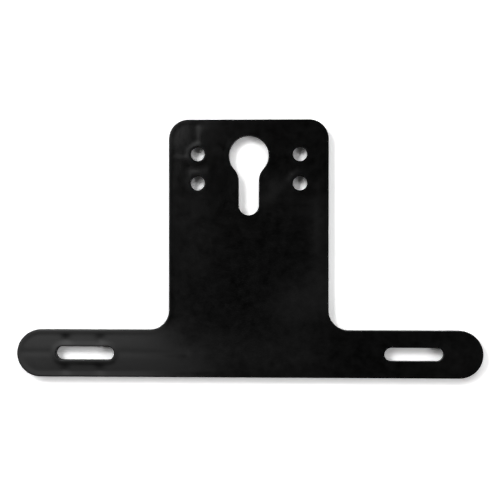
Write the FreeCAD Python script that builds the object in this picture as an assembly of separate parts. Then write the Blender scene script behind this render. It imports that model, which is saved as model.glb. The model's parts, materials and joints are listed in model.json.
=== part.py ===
import FreeCAD
import Part
import math
import os

from FreeCAD import Vector

# License plate bracket, moulded in one piece from black plastic: a flat plate in the shape of an
# upside-down T. The stem is bolted to the vehicle, or carries a small lamp, and the cross arm takes
# the two lower bolts of a number plate.
# It lies on its back, the plane z = 0, with its front face up. X runs along the arm, to the right as
# seen from the front, and Y runs up the stem. The origin is under the middle of the outline.
# All sizes are in millimetres.

# The plate
plate_thickness = 4.8
edge_round = 0.3

# The cross arm and its two slots
slot_spacing = 177.8
slot_length = 31.6
slot_width = 7.3
arm_side_wall = 9.15
arm_end_wall = 21.2

# The stem and its four bolt holes
stem_length = 113.6
stem_corner_radius = 10.5
inner_corner_radius = 10.9
stem_side_wall = 11.7
hole_diameter = 7.6
hole_spacing = 55.2
hole_pitch = 15.7
hole_top_wall = 14.8

# The keyhole in the middle of the stem
keyhole_top_wall = 8.8
keyhole_head_diameter = 21.3
keyhole_neck_width = 10.9
keyhole_neck_straight = 13.0
keyhole_blend_radius = 9.8

# Sizes that follow from the ones above
arm_height = slot_width + 2 * arm_side_wall
plate_width = slot_spacing + slot_length + 2 * arm_end_wall
plate_height = arm_height + stem_length
stem_width = hole_spacing + hole_diameter + 2 * stem_side_wall

bottom = -plate_height / 2
top = plate_height / 2
arm_top = bottom + arm_height
arm_middle = bottom + arm_height / 2


def arc(centre_x, centre_y, radius, start, end):
    """Arc about a centre, from one angle to another in degrees. It is clockwise where end is the smaller."""
    angles = [math.radians(angle) for angle in (start, (start + end) / 2, end)]
    points = [
        Vector(centre_x + radius * math.cos(angle), centre_y + radius * math.sin(angle), 0)
        for angle in angles
    ]
    return Part.Arc(*points).toShape()


def outline_of(arcs):
    """Closed outline through the arcs in turn, with a straight run from each arc to the next."""
    edges = []
    for this_arc, next_arc in zip(arcs, arcs[1:] + arcs[:1]):
        run_start = this_arc.valueAt(this_arc.LastParameter)
        run_end = next_arc.valueAt(next_arc.FirstParameter)
        edges.append(this_arc)
        if run_start.distanceToPoint(run_end) > Part.Precision.confusion():
            edges.append(Part.LineSegment(run_start, run_end).toShape())
    return Part.Wire(edges)


def plate_outline():
    """Round-ended cross arm with the stem standing on its upper edge."""
    end_radius = arm_height / 2
    end_x = plate_width / 2 - end_radius
    inner_x = stem_width / 2 + inner_corner_radius
    inner_y = arm_top + inner_corner_radius
    corner_x = stem_width / 2 - stem_corner_radius
    corner_y = top - stem_corner_radius
    return outline_of([
        arc(end_x, arm_middle, end_radius, -90, 90),
        arc(inner_x, inner_y, inner_corner_radius, 270, 180),
        arc(corner_x, corner_y, stem_corner_radius, 0, 90),
        arc(-corner_x, corner_y, stem_corner_radius, 90, 180),
        arc(-inner_x, inner_y, inner_corner_radius, 360, 270),
        arc(-end_x, arm_middle, end_radius, 90, 270),
    ])


def plate_slots():
    """Two round-ended slots along the arm, which let the plate's bolts shift sideways."""
    end_radius = slot_width / 2
    reach = slot_length / 2 - end_radius
    return [
        outline_of([
            arc(centre_x + reach, arm_middle, end_radius, -90, 90),
            arc(centre_x - reach, arm_middle, end_radius, 90, 270),
        ])
        for centre_x in (-slot_spacing / 2, slot_spacing / 2)
    ]


def bolt_holes():
    """Two rows of two round holes, one pair on each side of the keyhole."""
    upper_row = top - hole_top_wall - hole_diameter / 2
    return [
        Part.Wire([Part.makeCircle(hole_diameter / 2, Vector(centre_x, centre_y, 0))])
        for centre_x in (-hole_spacing / 2, hole_spacing / 2)
        for centre_y in (upper_row, upper_row - hole_pitch)
    ]


def keyhole():
    """Round head that runs through two blend arcs into a straight neck with a round end."""
    head_radius = keyhole_head_diameter / 2
    neck_radius = keyhole_neck_width / 2
    head_y = top - keyhole_top_wall - head_radius
    blend_x = neck_radius + keyhole_blend_radius
    blend_drop = math.sqrt((head_radius + keyhole_blend_radius) ** 2 - blend_x ** 2)
    blend_y = head_y - blend_drop
    touch = math.degrees(math.atan2(blend_drop, blend_x))
    return outline_of([
        arc(0, blend_y - keyhole_neck_straight, neck_radius, 180, 360),
        arc(blend_x, blend_y, keyhole_blend_radius, 180, 180 - touch),
        arc(0, head_y, head_radius, -touch, 180 + touch),
        arc(-blend_x, blend_y, keyhole_blend_radius, touch, 0),
    ])


def bracket_plate():
    """The whole bracket: the pierced outline at its full thickness, with every edge slightly rounded."""
    openings = [*plate_slots(), *bolt_holes(), keyhole()]
    face = Part.makeFace([plate_outline(), *openings], "Part::FaceMakerBullseye")
    plate = face.extrude(Vector(0, 0, plate_thickness))
    upright = Vector(0, 0, 1)
    rims = [edge for edge in plate.Edges if abs(edge.tangentAt(edge.FirstParameter).dot(upright)) < 0.5]
    return plate.makeFillet(edge_round, rims)


os.makedirs("parts", exist_ok=True)
bracket = bracket_plate()
bracket.exportStep("parts/bracket_plate.step")

box = bracket.optimalBoundingBox(False, False)
print(f"bracket_plate {box.XLength:.2f} x {box.YLength:.2f} x {box.ZLength:.2f} mm")
print(f"volume {bracket.Volume:.1f} mm3, solids {len(bracket.Solids)}, valid {bracket.isValid()}")
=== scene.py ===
# %% [markdown]
# # A license plate bracket in black plastic
#
# This lesson dresses a flat, moulded bracket for a photograph taken from above. The frame that it loads
# holds the exact solid: its size, the places of its holes and its one body. What Blender adds is the look
# of the moulding, which a perfect solid lacks: a face that sank a little as the plastic cooled, faint flow
# lines round the holes, and a black satin finish with an uneven gloss.
#
# The frame is in metres with +Z up. The bracket lies on its back with its front face up, X runs along the
# cross arm and Y runs up the stem.

# %% Load the frame
import json
import math

import bmesh
import bpy
from bmesh.types import BMFace, BMVert
from mathutils import Matrix, Vector, geometry, noise
from mathutils.bvhtree import BVHTree


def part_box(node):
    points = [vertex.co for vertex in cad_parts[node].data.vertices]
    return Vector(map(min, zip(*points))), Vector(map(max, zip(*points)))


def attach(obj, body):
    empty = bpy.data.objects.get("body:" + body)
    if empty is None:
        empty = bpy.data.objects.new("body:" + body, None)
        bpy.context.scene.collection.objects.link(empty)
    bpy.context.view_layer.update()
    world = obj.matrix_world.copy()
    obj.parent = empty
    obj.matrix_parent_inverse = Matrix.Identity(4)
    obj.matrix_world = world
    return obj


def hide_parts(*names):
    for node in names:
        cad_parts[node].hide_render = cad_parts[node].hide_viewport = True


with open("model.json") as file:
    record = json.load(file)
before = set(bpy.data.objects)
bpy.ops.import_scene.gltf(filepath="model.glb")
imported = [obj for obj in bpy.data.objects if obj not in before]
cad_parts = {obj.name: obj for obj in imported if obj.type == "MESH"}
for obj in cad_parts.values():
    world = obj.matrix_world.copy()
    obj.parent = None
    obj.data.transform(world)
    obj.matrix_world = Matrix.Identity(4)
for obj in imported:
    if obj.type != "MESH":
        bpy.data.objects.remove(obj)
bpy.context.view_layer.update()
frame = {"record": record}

mm = 0.001
low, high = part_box("bracket_plate")
thickness = high.z - low.z
size_mm = (high - low) / mm
print(f"the plate is {size_mm.x:.1f} x {size_mm.y:.1f} x {size_mm.z:.1f} mm")

# %% [markdown]
# ## The camera
#
# The photograph looks almost straight down. A camera with no rotation already looks along -Z with +Y up
# in the picture, so three small angles are enough to lean it as in the photograph. A constraint could aim
# it at a point instead, but it would hide these angles. The arm's right end came out slightly larger than
# its left one, which says that the camera stood a little to the right and only about 64 cm away. A lens of
# 85 mm at that distance gives both the framing and the perspective.

# %% Camera
camera_place = (26.3 * mm, 6.1 * mm, high.z + 638.3 * mm)
camera_lean = [math.radians(angle) for angle in (-0.61, 2.29, 0.07)]
focal_length = 85.4
film_width = 36.0

lens = bpy.data.cameras.new("overhead_camera")
lens.lens = focal_length
lens.sensor_width = film_width
camera = bpy.data.objects.new("overhead_camera", lens)
camera.rotation_mode = "ZYX"
camera.location = camera_place
camera.rotation_euler = camera_lean
bpy.context.scene.collection.objects.link(camera)
bpy.context.scene.camera = camera
bpy.context.scene.view_settings.view_transform = "Standard"
print("camera stands", round(camera.location.z / mm), "mm above the floor")

# %% [markdown]
# ## The outline as strokes of a compass
#
# The CAD mesh of the plate has the right shape, but its long triangles can't carry soft hollows, so the
# plate is drawn anew at the same sizes. Its edge and its seven openings are closed lines of arcs and
# straight runs. On paper a compass draws each arc, and the spin operator does the same: it turns one vertex
# about a centre and leaves edges behind it. A straight run is one edge to the next arc's start, cut into
# short pieces so that the rings that follow have enough points. The frame's record gives the places of the
# openings.

# %% A pen that draws arcs and straight runs
arc_step = 0.6 * mm
touching = 0.001 * mm


def only(items, kind):
    """The items of one kind, such as vertices, out of all that an operator returns."""
    return [item for item in items if isinstance(item, kind)]


def point_on(centre, radius, angle):
    """Point at an angle, in degrees, on a circle about a centre."""
    turn = math.radians(angle)
    return Vector((centre[0] + radius * math.cos(turn), centre[1] + radius * math.sin(turn), 0))


def draw_loop(bm, arcs):
    """Closed line through the arcs in turn. An arc is its centre, its radius and its two end angles."""
    first = pen = None
    for centre, radius, start, end in arcs:
        begin = point_on(centre, radius, start)
        if pen is None or (pen.co - begin).length > touching:
            corner = bm.verts.new(begin)
            if pen is None:
                first = corner
            else:
                bm.edges.new((pen, corner))
            pen = corner
        turn = math.radians(end - start)
        steps = math.ceil(abs(turn) * radius / arc_step)
        middle = (centre[0], centre[1], 0)
        arc = bmesh.ops.spin(bm, geom=[pen], cent=middle, axis=(0, 0, 1), angle=turn, steps=steps)
        pen = only(arc["geom_last"], BMVert)[0]
    if (pen.co - first.co).length > touching:
        bm.edges.new((pen, first))


print(f"arcs are drawn in steps of {arc_step / mm:.1f} mm")

# %% Sizes of the arm and the stem
mounts = {mount["name"]: mount for mount in frame["record"]["mounts"]}
slots, holes = mounts["plate_slots"], mounts["stem_holes"]

arm_y = slots["pos_m"][1]
arm_radius = arm_y - low.y
arm_top = arm_y + arm_radius
stem_half = 43.1 * mm
stem_corner = 10.5 * mm
inner_corner = 10.9 * mm
print(f"the arm is {2 * arm_radius / mm:.1f} mm wide and the stem {2 * stem_half / mm:.1f} mm")

# %% Sizes of the slots, the holes and the keyhole
slot_x = slots["dims"]["spacing_x_mm"] / 2 * mm
slot_radius = slots["dims"]["hole_r_mm"] * mm
slot_reach = slots["dims"]["slot_length_mm"] / 2 * mm - slot_radius
hole_x = holes["dims"]["spacing_x_mm"] / 2 * mm
hole_rise = holes["dims"]["spacing_y_mm"] / 2 * mm
hole_radius = holes["dims"]["hole_r_mm"] * mm
hole_rows = (holes["pos_m"][1] + hole_rise, holes["pos_m"][1] - hole_rise)

head_y = mounts["keyhole_head"]["pos_m"][1]
head_radius = mounts["keyhole_head"]["dims"]["r_mm"] * mm
neck_y = mounts["keyhole_neck"]["pos_m"][1]
neck_radius = 5.45 * mm
blend_radius = 9.8 * mm
blend_x = neck_radius + blend_radius
blend_drop = math.sqrt((head_radius + blend_radius) ** 2 - blend_x ** 2)
blend_y = head_y - blend_drop
blend_touch = math.degrees(math.atan2(blend_drop, blend_x))
print(f"slots at x = {slot_x / mm:.1f} mm, holes at x = {hole_x / mm:.1f} mm either side")

# %% Draw the eight loops
end_x = high.x - arm_radius
inner_x = stem_half + inner_corner
inner_y = arm_top + inner_corner
corner_x = stem_half - stem_corner
corner_y = high.y - stem_corner

plate = bmesh.new()
draw_loop(plate, [
    ((end_x, arm_y), arm_radius, -90, 90),
    ((inner_x, inner_y), inner_corner, 270, 180),
    ((corner_x, corner_y), stem_corner, 0, 90),
    ((-corner_x, corner_y), stem_corner, 90, 180),
    ((-inner_x, inner_y), inner_corner, 360, 270),
    ((-end_x, arm_y), arm_radius, 90, 270),
])
for side in (-1, 1):
    draw_loop(plate, [
        ((side * slot_x + slot_reach, arm_y), slot_radius, -90, 90),
        ((side * slot_x - slot_reach, arm_y), slot_radius, 90, 270),
    ])
    for row_y in hole_rows:
        draw_loop(plate, [((side * hole_x, row_y), hole_radius, 0, 360)])
draw_loop(plate, [
    ((0, neck_y), neck_radius, 180, 360),
    ((blend_x, blend_y), blend_radius, 180, 180 - blend_touch),
    ((0, head_y), head_radius, -blend_touch, 180 + blend_touch),
    ((-blend_x, blend_y), blend_radius, blend_touch, 0),
])
bmesh.ops.remove_doubles(plate, verts=plate.verts, dist=touching)
print("the eight loops have", len(plate.verts), "points")

# %% Halve the straight runs until they are short
run_step = 1.6 * mm
long_runs = plate.edges[:]
while long_runs:
    long_runs = [edge for edge in plate.edges if edge.calc_length() > run_step]
    bmesh.ops.subdivide_edges(plate, edges=long_runs, cuts=1)
print("with the runs cut they have", len(plate.verts), "points")

# %% [markdown]
# ## From lines to a plate
#
# Extruding the loops upwards gives the walls, and a triangle fill closes the two faces and leaves the
# openings open. The rims of a moulding are never razor sharp. A bevel would have to deal with the many
# triangles that meet at each rim point, so the faces are inset instead, in a few steps that follow a
# quarter circle inwards and upwards.

# %% Walls and faces
edge_round = 0.3 * mm

bmesh.ops.translate(plate, verts=plate.verts, vec=(0, 0, low.z + edge_round))
lower_rim = plate.edges[:]
upper_points = only(bmesh.ops.extrude_edge_only(plate, edges=lower_rim)["geom"], BMVert)
bmesh.ops.translate(plate, verts=upper_points, vec=(0, 0, thickness - 2 * edge_round))
wall_finder = BVHTree.FromBMesh(plate)

upper_set = set(upper_points)
upper_rim = [edge for edge in plate.edges if upper_set.issuperset(edge.verts)]
front = bmesh.ops.triangle_fill(plate, edges=upper_rim, use_beauty=True, normal=(0, 0, 1))
front = only(front["geom"], BMFace)
back = bmesh.ops.triangle_fill(plate, edges=lower_rim, use_beauty=True, normal=(0, 0, -1))
back = only(back["geom"], BMFace)
bmesh.ops.recalc_face_normals(plate, faces=plate.faces)
print("walls and faces:", len(plate.faces), "faces")

# %% Round the rims
round_steps = 3


def inset(faces, inwards, outwards=0.0):
    """Ring of new faces round a region, which shrinks inwards and rises along its normal."""
    bmesh.ops.inset_region(plate, faces=faces, thickness=inwards, depth=outwards,
                           use_even_offset=True, use_boundary=True)


for region in (front, back):
    for step in range(round_steps):
        before = math.radians(90 * step / round_steps)
        after = math.radians(90 * (step + 1) / round_steps)
        inset(region, edge_round * (math.cos(before) - math.cos(after)),
              edge_round * (math.sin(after) - math.sin(before)))
print("rounded rims:", len(plate.faces), "faces")

# %% [markdown]
# ## A fine grid on the front face
#
# The sunk face needs points to move. Subdividing the triangle fill would give points too, but along its
# long slivers. So first a few narrow rings follow every rim, because the face falls away from the rims
# along their curves. Then planes slice the rest into strips and the strips into squares. Between the two
# rounds of slices the edges of the fill are dissolved, so that clean squares are left. At the rings the
# squares end in faces with many sides. These are cut into triangles while they are still flat, because a
# bent face can fold over itself when it is cut later. The back stays as it is, apart from one ring that
# holds its shading flat up to the rim.

# %% Rings along the rims
ring_widths = [0.3 * mm, 0.4 * mm, 0.4 * mm, 0.5 * mm, 0.5 * mm]
back_ring_width = 0.3 * mm

for width in ring_widths:
    inset(front, width)
inset(back, back_ring_width)
print("rings reach", round((edge_round + sum(ring_widths)) / mm, 2), "mm in from the rims")

# %% A knife for the field inside the rings
grid_step = 0.7 * mm
FRONT_FIELD = 1
for face in front:
    face.material_index = FRONT_FIELD


def field_faces():
    """Faces of the front face's inner field, which keep their mark as they are sliced."""
    return [face for face in plate.faces if face.material_index == FRONT_FIELD]


def once_each(items):
    """Each item once, in order. A set has a new order at every run, and the mesh would vary with it."""
    return list(dict.fromkeys(items))


def slice_field(axis, start, end):
    """Slices the field at even steps along an axis. Faces behind a slice are done and left alone."""
    count = math.ceil((end - start) / grid_step)
    across = Vector()
    across[axis] = 1
    ahead = field_faces()
    for number in range(1, count):
        place = across * (start + (end - start) * number / count)
        edges = once_each(edge for face in ahead for edge in face.edges)
        points = once_each(point for face in ahead for point in face.verts)
        cut = bmesh.ops.bisect_plane(plate, geom=[*points, *edges, *ahead], dist=touching,
                                     plane_co=place, plane_no=across)["geom"]
        ahead = [face for face in only(cut, BMFace) if face.calc_center_median()[axis] > place[axis]]


print("the field has", len(field_faces()), "triangles before it is sliced")

# %% Slice the field into strips and squares
slice_field(0, low.x, high.x)
fill_edges = []
for edge in plate.edges:
    inside = [face.material_index == FRONT_FIELD for face in edge.link_faces]
    leans = abs(edge.verts[0].co.x - edge.verts[1].co.x) > touching
    if all(inside) and leans:
        fill_edges.append(edge)
bmesh.ops.dissolve_edges(plate, edges=fill_edges, use_verts=True)
slice_field(1, low.y, high.y)
print("sliced field:", len(field_faces()), "faces")

# %% Merge crowded points and cut the many-sided faces
crowded = 0.03 * mm
field_points = once_each(point for face in field_faces() for point in face.verts)
bmesh.ops.remove_doubles(plate, verts=field_points, dist=crowded)

faces_up = 0.5
many_sided = [face for face in plate.faces if len(face.verts) > 4 and face.normal.z > faces_up]
bmesh.ops.triangulate(plate, faces=many_sided, quad_method="BEAUTY", ngon_method="BEAUTY")
print(len(many_sided), "many-sided faces were cut, and the field has", len(field_faces()), "faces")

# %% [markdown]
# ## The sunk face
#
# Thick plastic shrinks as it cools. The rims set first and stay high, while the face between them sinks by
# about a twentieth of a millimetre in a soft hollow. Where two streams of melt met behind an opening, faint
# grooves stay. None of this is deep, but a satin black face shows its shape only in what it mirrors, and a
# slope of one degree is enough to catch another part of the room. A sculpting brush could press the marks
# in by hand. Here each is a line with a width and a depth, which is easier to change. The points are only
# ever moved down, so the plate keeps its size.

# %% The hollow between the rims
dish_start = 0.3 * mm
dish_width = 3.2 * mm
dish_depth = 0.042 * mm
stem_share = 0.54
stem_ease = 30 * mm


def smooth_step(share):
    """Eases from 0 to 1 with no corner at either end."""
    share = min(max(share, 0), 1)
    return share * share * (3 - 2 * share)


def hollow_depth(place, distance):
    """Depth of the hollow at a distance from the rims. On the stem it is shallower than on the arm."""
    up_stem = smooth_step((place.y - arm_top) / stem_ease)
    return dish_depth * (1 + (stem_share - 1) * up_stem) * smooth_step(distance / dish_width)


print(f"the hollow is {dish_depth / mm:.3f} mm deep on the arm, {dish_width / mm:.1f} mm in from the rims")


# %% Flow lines
def soft_line(point, start, end, half_width):
    """1 on a straight line, falling softly to 0 beside it. Its ends and half width are in millimetres."""
    start = Vector((*start, 0)) * mm
    end = Vector((*end, 0)) * mm
    near, share = geometry.intersect_point_line(point, start, end)
    if share < 0:
        near = start
    if share > 1:
        near = end
    reach = (point - near).length / (half_width * mm)
    return math.exp(-reach * reach)


# A flow line is its start and its end on the left half, its half width and its depth, in millimetres
flow_lines = [
    ((-123.0, -56.3), (-108.0, -56.3), 1.8, 0.022),
    ((-71.0, -56.3), (-34.0, -56.9), 1.9, 0.022),
    ((-27.0, -56.9), (0.0, -56.9), 1.9, 0.010),
    ((-99.2, -49.4), (-98.3, -53.0), 2.5, 0.10),
    ((-80.6, -49.4), (-79.7, -53.0), 2.6, 0.085),
    ((-99.4, -66.2), (-98.6, -68.4), 2.6, 0.060),
    ((-80.6, -66.2), (-79.8, -68.4), 2.7, 0.052),
    ((-28.4, 70.0), (-28.4, 55.0), 2.2, 0.034),
    ((-40.0, 51.0), (-32.0, 51.0), 1.5, 0.016),
    ((-32.0, 43.6), (-24.0, 43.9), 2.2, 0.055),
]


def flow_depth(point):
    """Depth of all the flow lines at a point. The right half mirrors the left one."""
    left = Vector((-abs(point.x), point.y, 0))
    return sum(soft_line(left, start, end, half_width) * depth * mm
               for start, end, half_width, depth in flow_lines)


print(len(flow_lines), "flow lines on each half")

# %% Painted sheen: paler streaks on the face
# A streak of painted sheen is its start and its end, its half width in millimetres and its strength
sheen_streaks = [
    ((24.0, 39.0), (9.5, 26.5), 2.4, 0.22),
    ((-32.0, 41.4), (-24.0, 41.8), 2.0, 0.50),
    ((-40.5, 49.6), (-34.5, 49.6), 1.2, 0.50),
    ((-27.3, 65.5), (-27.3, 57.0), 1.0, 0.50),
    ((-26.5, 66.0), (-17.5, 67.6), 2.4, 0.28),
    ((-27.0, 31.0), (-27.5, 22.0), 3.5, 0.14),
    ((21.3, 37.2), (23.2, 40.2), 1.2, 0.55),
    ((23.2, 40.2), (26.0, 41.8), 1.2, 0.55),
    ((9.0, 27.0), (13.0, 33.0), 5.0, 0.40),
    ((37.0, 34.0), (37.0, 0.0), 1.9, 0.25),
    ((38.0, 20.0), (40.0, -14.0), 8.0, 0.28),
    ((18.0, 34.0), (26.0, 22.0), 8.0, 0.12),
    ((-40.4, 45.0), (-40.4, 8.0), 1.4, 0.10),
    ((-31.0, 22.0), (-29.0, -8.0), 11.0, 0.22),
    ((24.0, -30.0), (38.0, -26.0), 12.0, 0.55),
    ((-22.0, -57.0), (28.0, -57.0), 13.0, 0.36),
    ((104.0, -57.0), (122.0, -57.0), 10.0, 0.14),
]


def painted_sheen(point):
    """How much paler the face is painted at a point along the streaks: painted sheen."""
    flat = Vector((point.x, point.y, 0))
    return sum(soft_line(flat, start, end, half_width) * strength
               for start, end, half_width, strength in sheen_streaks)


print(len(sheen_streaks), "painted streaks")

# %% How deep a point of the face sinks
wave_size = 26 * mm
wave_depth = 0.02 * mm
line_fade = 3.6 * mm


def rim_distance(point):
    """Distance from a point of the face to the nearest wall."""
    at_walls = Vector((point.x, point.y, thickness / 2))
    return wall_finder.find_nearest(at_walls)[3]


def sink_depth(place):
    """Depth of the hollow, the flow lines and a slow wave. All of them fade out towards the rims."""
    distance = rim_distance(place) - dish_start
    wave = noise.noise(Vector((place.x, place.y, 0)) / wave_size) / 2 + 0.5
    marks = wave_depth * wave + flow_depth(place)
    return hollow_depth(place, distance) + smooth_step(distance / line_fade) * marks


print(f"the middle of the arm sinks by {sink_depth(Vector((0, arm_y, high.z))) / mm:.2f} mm")

# %% Sink the face, and mark the walls and the streaks of painted sheen
# The walls are painted paler: partly a mould's greyer sides, partly painted sheen in place of highlights
wall_pale_and_sheen = 1.5
wall_top = high.z - edge_round + touching
deepest = 0
rough_wall = plate.verts.layers.float.new("rough_wall")
pale_and_sheen = plate.verts.layers.float.new("pale_and_sheen")
for point in plate.verts:
    if point.co.z < wall_top:
        point[rough_wall] = 1
        point[pale_and_sheen] = wall_pale_and_sheen
    elif point.co.z > high.z - touching:
        sink = sink_depth(point.co)
        # Painted sheen: the face is painted paler along the streaks
        point[pale_and_sheen] = painted_sheen(point.co)
        point.co.z -= sink
        deepest = max(deepest, sink)
print(f"the face sinks by up to {deepest / mm:.2f} mm")

# %% [markdown]
# ## A finished piece
#
# The bmesh becomes a mesh object that stands in for the CAD node. Flat shading would show every small
# square, and plain smooth shading would round the whole plate. Smooth shading with weighted normals keeps
# the big faces flat and lets only the narrow rims look round.

# %% The bracket's object
def finished_object(name, bm):
    """Object at the origin with the mesh of a bmesh, which is used up."""
    mesh = bpy.data.meshes.new(name)
    bm.to_mesh(mesh)
    bm.free()
    thing = bpy.data.objects.new(name, mesh)
    bpy.context.scene.collection.objects.link(thing)
    return thing


for face in plate.faces:
    face.material_index = 0
    face.smooth = True
bracket = finished_object("moulded_bracket", plate)
normals = bracket.modifiers.new("flat_faces", "WEIGHTED_NORMAL")
normals.keep_sharp = True
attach(bracket, "root")
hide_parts("bracket_plate")
print(bracket.name, "has", len(bracket.data.polygons), "faces")

# %% [markdown]
# ## Black satin plastic
#
# The real finish is a black that is almost even in colour, so nearly all that the eye sees is gloss. The
# gloss is cloudy: where the melt flowed, patches came out a little hazier than their neighbours. One noise
# drives both the roughness and the black, so that a hazy patch is also a pale one. An image could hold
# this, but it would need a UV map and end in pixels. The mesh carries two numbers at each point. The walls
# are rougher than the face, as the sides of a mould are, and painted paler, partly as a mould's greyer
# sides and partly as painted sheen in place of highlights, since the lamps stay out of mirror images.
# Paler streaks on the face are painted sheen too. A very fine grain breaks up what the face mirrors.

# %% Clouds in the plastic
finish = bpy.data.materials.new("black_plastic")
finish.use_nodes = True
tree = finish.node_tree
plastic = tree.nodes["Principled BSDF"]
place_on_piece = tree.nodes.new("ShaderNodeTexCoord").outputs["Object"]

cloud_node = tree.nodes.new("ShaderNodeTexNoise")
cloud_node.inputs["Scale"].default_value = 180
cloud_node.inputs["Detail"].default_value = 8
cloud_node.inputs["Roughness"].default_value = 0.72
tree.links.new(place_on_piece, cloud_node.inputs["Vector"])
clouds = cloud_node.outputs["Fac"]
print("finish:", finish.name)


# %% Cloudy gloss of the face
def ranged(tree, value, source, target, interpolation="LINEAR"):
    """Output of a node that turns a value from one range into another."""
    node = tree.nodes.new("ShaderNodeMapRange")
    node.interpolation_type = interpolation
    node.inputs["From Min"].default_value, node.inputs["From Max"].default_value = source
    node.inputs["To Min"].default_value, node.inputs["To Max"].default_value = target
    tree.links.new(value, node.inputs["Value"])
    return node.outputs["Result"]


cloud_range = (0.3, 0.7)
face_roughness = (0.10, 0.14)
gloss = ranged(tree, clouds, cloud_range, face_roughness)
print("the face's roughness runs from", face_roughness[0], "to", face_roughness[1])


# %% Rougher walls
def worked_out(tree, operation, *values):
    """Output of a math node. Each value is a plain number or the output of another node."""
    node = tree.nodes.new("ShaderNodeMath")
    node.operation = operation
    for value, socket in zip(values, node.inputs):
        if isinstance(value, bpy.types.NodeSocket):
            tree.links.new(value, socket)
        else:
            socket.default_value = value
    return node.outputs["Value"]


wall_roughness = 0.6
wall_mark = tree.nodes.new("ShaderNodeAttribute")
wall_mark.attribute_name = "rough_wall"
roughness = worked_out(tree, "MULTIPLY_ADD", wall_mark.outputs["Fac"], wall_roughness, gloss)
tree.links.new(roughness, plastic.inputs["Roughness"])
print("the walls' roughness is higher by", wall_roughness)

# %% Black with paler streaks
face_black = (0.0, 0.0044)
sheen_grey = 0.01
# Painted sheen: this grey, times the mark, is added to the black on the walls and along the streaks

black = ranged(tree, clouds, cloud_range, face_black)
sheen_mark = tree.nodes.new("ShaderNodeAttribute")
sheen_mark.attribute_name = "pale_and_sheen"
colour = worked_out(tree, "MULTIPLY_ADD", sheen_mark.outputs["Fac"], sheen_grey, black)
tree.links.new(colour, plastic.inputs["Base Color"])
print("black", face_black, "on the face")

# %% Fine grain
grain = tree.nodes.new("ShaderNodeTexNoise")
grain.inputs["Scale"].default_value = 1600
grain.inputs["Detail"].default_value = 2
tree.links.new(place_on_piece, grain.inputs["Vector"])
bump = tree.nodes.new("ShaderNodeBump")
bump.inputs["Strength"].default_value = 0.1
bump.inputs["Distance"].default_value = 0.02 * mm
tree.links.new(grain.outputs["Fac"], bump.inputs["Height"])
tree.links.new(bump.outputs["Normal"], plastic.inputs["Normal"])
bracket.data.materials.append(finish)
print(bracket.name, "is finished in", bracket.data.materials[0].name)

# %% [markdown]
# ## Floor
#
# The photograph's background is pure white and only keeps a soft shadow beside the plate. A white floor
# under plain light comes out a little under white. More light would whiten it, but it would also pale the
# plate, so the floor's colour is raised for the camera and for mirror rays alone. The light that it throws
# back onto the plate stays plain. The floor lies a hair below the plate, because two faces in one plane
# flicker through each other. It is not large either: past its edge a low view sees the white horizon of
# the room.

# %% White paper
def bare_material(name, shader_kind):
    """New material with one shader on its output. Returns the material and the shader."""
    material = bpy.data.materials.new(name)
    material.use_nodes = True
    nodes = material.node_tree.nodes
    nodes.clear()
    output = nodes.new("ShaderNodeOutputMaterial")
    shader = nodes.new(shader_kind)
    material.node_tree.links.new(shader.outputs[0], output.inputs["Surface"])
    return material, shader


floor_colour = 0.8
floor_seen = 1.6

paper, paper_shader = bare_material("white_floor", "ShaderNodeBsdfDiffuse")
tree = paper.node_tree
rays = tree.nodes.new("ShaderNodeLightPath").outputs
mirrored = worked_out(tree, "MAXIMUM", rays["Is Camera Ray"], rays["Is Glossy Ray"])
seen = worked_out(tree, "MAXIMUM", mirrored, rays["Is Transmission Ray"])
tree.links.new(ranged(tree, seen, (0, 1), (floor_colour, floor_seen)), paper_shader.inputs["Color"])
print("paper:", floor_colour, "in the light and", floor_seen, "where it is seen")

# %% Floor sheet
floor_half = 0.45
floor_gap = 0.05 * mm

sheet = bmesh.new()
bmesh.ops.create_grid(sheet, x_segments=1, y_segments=1, size=floor_half)
bmesh.ops.translate(sheet, verts=sheet.verts, vec=(0, 0, low.z - floor_gap))
floor = finished_object("studio_floor", sheet)
floor.data.materials.append(paper)
print("floor:", floor.name)

# %% [markdown]
# ## Lamps
#
# The shadows tell where the light came from. The small holes are dark at their tops, the plate throws a
# thin soft shadow to the right and downwards, and none to the left. That takes a large lamp at the upper
# left with a higher one beside it, a third above the picture, a fourth at the right, and a wide, low and
# weak strip below. A picture of a studio as the world could light the plate too, but lamps are easier to
# move. Each is set by the share of the floor's light that it gives, so that white paper comes out white.
# The lamps stay out of mirror images: on a satin black face each would leave a white glare, which the
# photograph doesn't show.

# %% A lamp that is set by its share of the light
lamp_distance = 1.8


def lamp_place(azimuth, elevation):
    """Place on a sphere about the plate's middle. Azimuth runs from +X towards +Y, in degrees."""
    turn, rise = math.radians(azimuth), math.radians(elevation)
    flat = math.cos(rise)
    return Vector((flat * math.cos(turn), flat * math.sin(turn), math.sin(rise))) * lamp_distance


def soft_lamp(name, place, size, radiance):
    """Rectangular area lamp that looks at the plate's middle. A radiance of 1 is white."""
    light = bpy.data.lights.new(name, "AREA")
    light.shape = "RECTANGLE"
    light.size, light.size_y = size
    light.energy = radiance * math.pi * size[0] * size[1]
    lamp = bpy.data.objects.new(name, light)
    lamp.location = place
    lamp.rotation_euler = (-lamp.location).to_track_quat("-Z", "Y").to_euler()
    lamp.visible_glossy = False
    bpy.context.scene.collection.objects.link(lamp)


def floor_lamp(name, azimuth, elevation, across, upright, share):
    """Lamp that gives a share of the floor's light. Its half width and half height are angles."""
    size = [2 * lamp_distance * math.tan(math.radians(angle)) for angle in (across, upright)]
    seen_area = size[0] * size[1] * math.sin(math.radians(elevation)) / lamp_distance ** 2
    soft_lamp(name, lamp_place(azimuth, elevation), size, share * math.pi / seen_area)


print("lamps stand", lamp_distance, "m from the plate")

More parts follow.
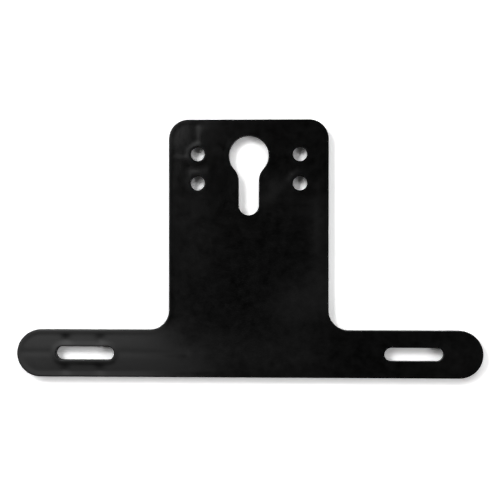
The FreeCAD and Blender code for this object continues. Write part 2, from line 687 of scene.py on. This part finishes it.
# %% Five lamps
floor_lamp("key_lamp", azimuth=136, elevation=38, across=11, upright=11, share=0.37)
floor_lamp("left_lamp", azimuth=163, elevation=48, across=8, upright=8, share=0.12)
floor_lamp("top_lamp", azimuth=78, elevation=46, across=16, upright=16, share=0.22)
floor_lamp("right_lamp", azimuth=350, elevation=36, across=10, upright=10, share=0.17)
floor_lamp("low_lamp", azimuth=272, elevation=17, across=38, upright=7, share=0.10)

# %% [markdown]
# ## A pale ceiling with a round dark opening
#
# A flat black face mirrors what hangs above it. In the photograph the left arm and the stem's upper left
# corner are grey, with a round boundary whose middle lies under the camera. So there was a pale ceiling at
# the left, and the camera looked through a dark round opening in it. The grey could be painted on the
# plate, but then it would stay when the view changes, as no mirror image does. The spin operator draws the
# opening's edge, an extrusion widens it to a sheet and one cut ends the sheet below. The sheet's glow fades
# softly towards that end, because the arm darkens softly towards its lower edge. The sheet is there to be
# mirrored, so it gives the floor no light.

# %% Ceiling sheet
opening_middle = Vector((-0.028, 0.009, 1.0))
opening_radius = 0.19
opening_start = 113
opening_turn = 137
opening_steps = 48
ceiling_reach = 0.60
ceiling_end_y = -0.265

ceiling = bmesh.new()
edge_start = ceiling.verts.new(opening_middle + point_on((0, 0), opening_radius, opening_start))
bmesh.ops.spin(ceiling, geom=[edge_start], cent=opening_middle, axis=(0, 0, 1),
               angle=math.radians(opening_turn), steps=opening_steps)
widened = bmesh.ops.extrude_edge_only(ceiling, edges=ceiling.edges[:])["geom"]
wider = ceiling_reach / opening_radius
bmesh.ops.scale(ceiling, verts=only(widened, BMVert), vec=(wider, wider, 1),
                space=Matrix.Translation(-opening_middle))
bmesh.ops.bisect_plane(ceiling, geom=[*ceiling.verts, *ceiling.edges, *ceiling.faces],
                       plane_co=(0, ceiling_end_y, 0), plane_no=(0, -1, 0), clear_outer=True)
pale_ceiling = finished_object("pale_ceiling", ceiling)
pale_ceiling.visible_diffuse = False
print("ceiling:", len(pale_ceiling.data.polygons), "faces")

# %% Ceiling glow
glow_from_x, glow_to_x = -0.5, -0.13
glow_levels = (2.35, 1.6)
full_glow_y = 0.0

pale, glow = bare_material("pale_ceiling", "ShaderNodeEmission")
tree = pale.node_tree
sides = tree.nodes.new("ShaderNodeSeparateXYZ")
tree.links.new(tree.nodes.new("ShaderNodeTexCoord").outputs["Object"], sides.inputs["Vector"])
level = ranged(tree, sides.outputs["X"], (glow_from_x, glow_to_x), glow_levels)
fade = ranged(tree, sides.outputs["Y"], (ceiling_end_y, full_glow_y), (0, 1), "SMOOTHSTEP")
tree.links.new(worked_out(tree, "MULTIPLY", level, fade), glow.inputs["Strength"])
pale_ceiling.data.materials.append(pale)
print("the ceiling's glow falls from", glow_levels[0], "at the left to", glow_levels[1])

# %% [markdown]
# ## The room
#
# What the ceiling leaves open is a dim room, and it is what most of the stem and the right arm mirror. A
# picture of a real room could go here, but a ramp over the height is enough: white at the horizon, where
# low views look past the floor, grey a little higher, which gives the walls of the plate a gentle sheen,
# and almost black overhead.

# %% Dim room
# A stop of the ramp is a height, as the sine of the angle above the horizon, and a grey
horizon = (0.06, 1.0)
above_horizon = (0.14, 0.3)
overhead = (0.6, 0.03)


def set_stop(stop, position, grey):
    """Sets one stop of a ramp to a grey."""
    stop.position = position
    stop.color = (grey, grey, grey, 1)


room = bpy.data.worlds.new("dim_room")
room.use_nodes = True
tree = room.node_tree
direction = tree.nodes.new("ShaderNodeTexCoord")
height = tree.nodes.new("ShaderNodeSeparateXYZ")
ramp = tree.nodes.new("ShaderNodeValToRGB")
stops = ramp.color_ramp.elements
set_stop(stops[0], *horizon)
set_stop(stops[1], *above_horizon)
set_stop(stops.new(overhead[0]), *overhead)
tree.links.new(direction.outputs["Generated"], height.inputs["Vector"])
tree.links.new(height.outputs["Z"], ramp.inputs["Fac"])
tree.links.new(ramp.outputs["Color"], tree.nodes["Background"].inputs["Color"])
bpy.context.scene.world = room
print("room:", room.name)
